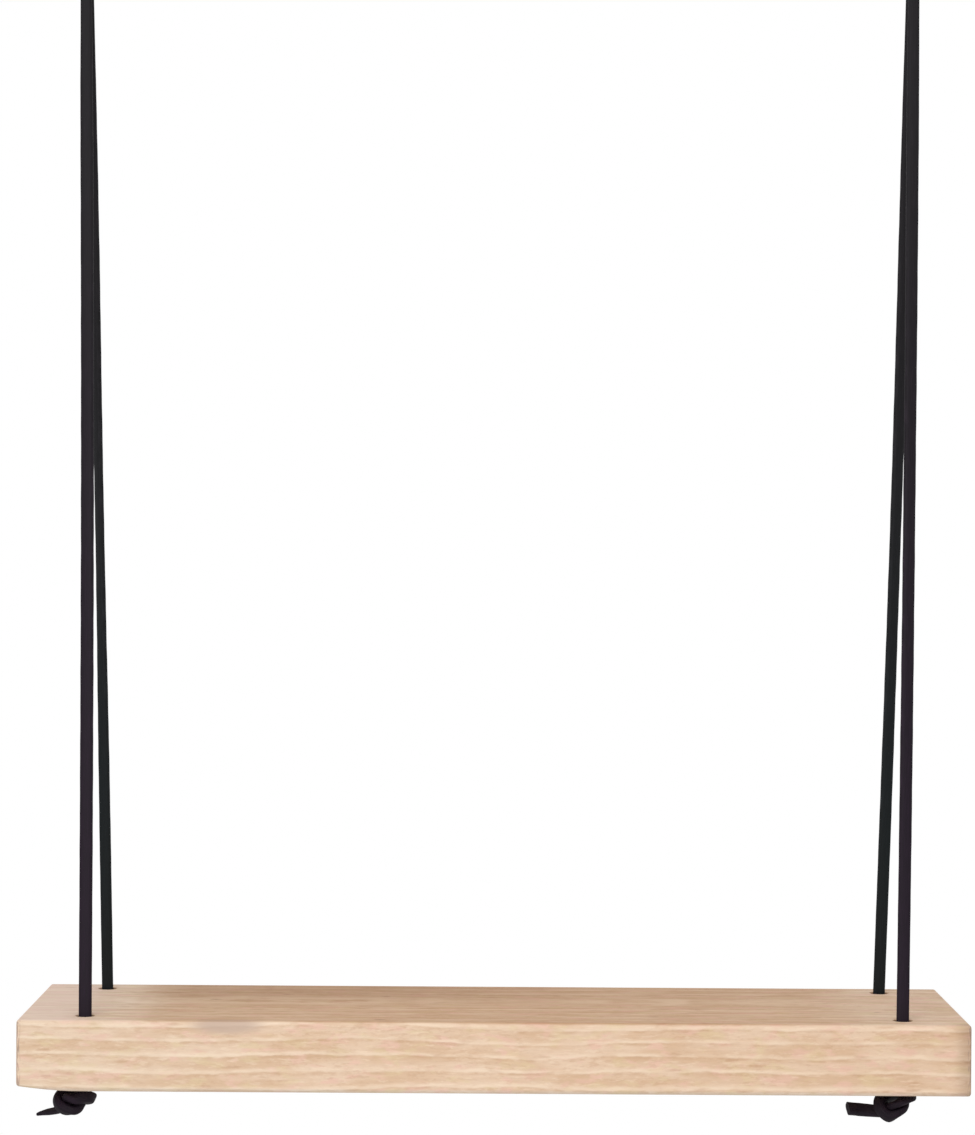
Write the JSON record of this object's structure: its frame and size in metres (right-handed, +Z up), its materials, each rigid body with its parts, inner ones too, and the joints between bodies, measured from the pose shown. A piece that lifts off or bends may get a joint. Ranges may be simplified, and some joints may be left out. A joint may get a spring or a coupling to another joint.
{
  "type": "hanging shelf",
  "caption": "Hanging shelf: a thick pine plank slung by black laces that are knotted under it and looped over screw hooks.",
  "frame": {"origin": "midway between the hooks, on the overhead surface that they are screwed into", "axes": "+X along the plank to the right, -Y towards the viewer, +Z up"},
  "size_m": [0.508, 0.14, 0.6637],
  "materials": {
    "pine": "planed softwood, bare or matt oiled",
    "black_lace": "smooth dull black lace",
    "steel": "plain bright-plated wire"
  },
  "bodies": {
    "hooks": {"left_hook": "steel", "right_hook": "steel"},
    "left_bend": {"left_bend": "black_lace"},
    "left_ropes": {"left_front_leg": "black_lace", "left_back_leg": "black_lace"},
    "board": {"board": "pine", "left_front_knot": "black_lace", "left_back_knot": "black_lace", "right_front_knot": "black_lace", "right_back_knot": "black_lace"},
    "right_bend": {"right_bend": "black_lace"},
    "right_ropes": {"right_front_leg": "black_lace", "right_back_leg": "black_lace"}
  },
  "joints": [
    {"name": "swing", "type": "hinge", "parent": "hooks", "child": "left_bend", "pos_m": [-0.2275, 0, -0.02997], "axis": [1, 0, 0], "range_deg": [-25, 25]},
    {"name": "sway", "type": "hinge", "parent": "left_bend", "child": "left_ropes", "pos_m": [-0.2275, 0, -0.0346], "axis": [0, 1, 0], "range_deg": [-10, 10]},
    {"name": "level", "type": "hinge", "parent": "left_ropes", "child": "board", "pos_m": [-0.2195, 0, -0.58997], "axis": [0, 1, 0], "range_deg": [-10.4, 10.4]},
    {"name": "right_swing", "type": "hinge", "parent": "hooks", "child": "right_bend", "pos_m": [0.2275, 0, -0.02997], "axis": [1, 0, 0], "range_deg": [-25, 25]},
    {"name": "right_sway", "type": "hinge", "parent": "right_bend", "child": "right_ropes", "pos_m": [0.2275, 0, -0.0346], "axis": [0, 1, 0], "range_deg": [-10, 10]}
  ],
  "couplings": [
    {"joint": "level", "follows": "sway", "ratio": -1.0364},
    {"joint": "right_swing", "follows": "swing", "ratio": 1},
    {"joint": "right_sway", "follows": "sway", "ratio": 1}
  ]
}
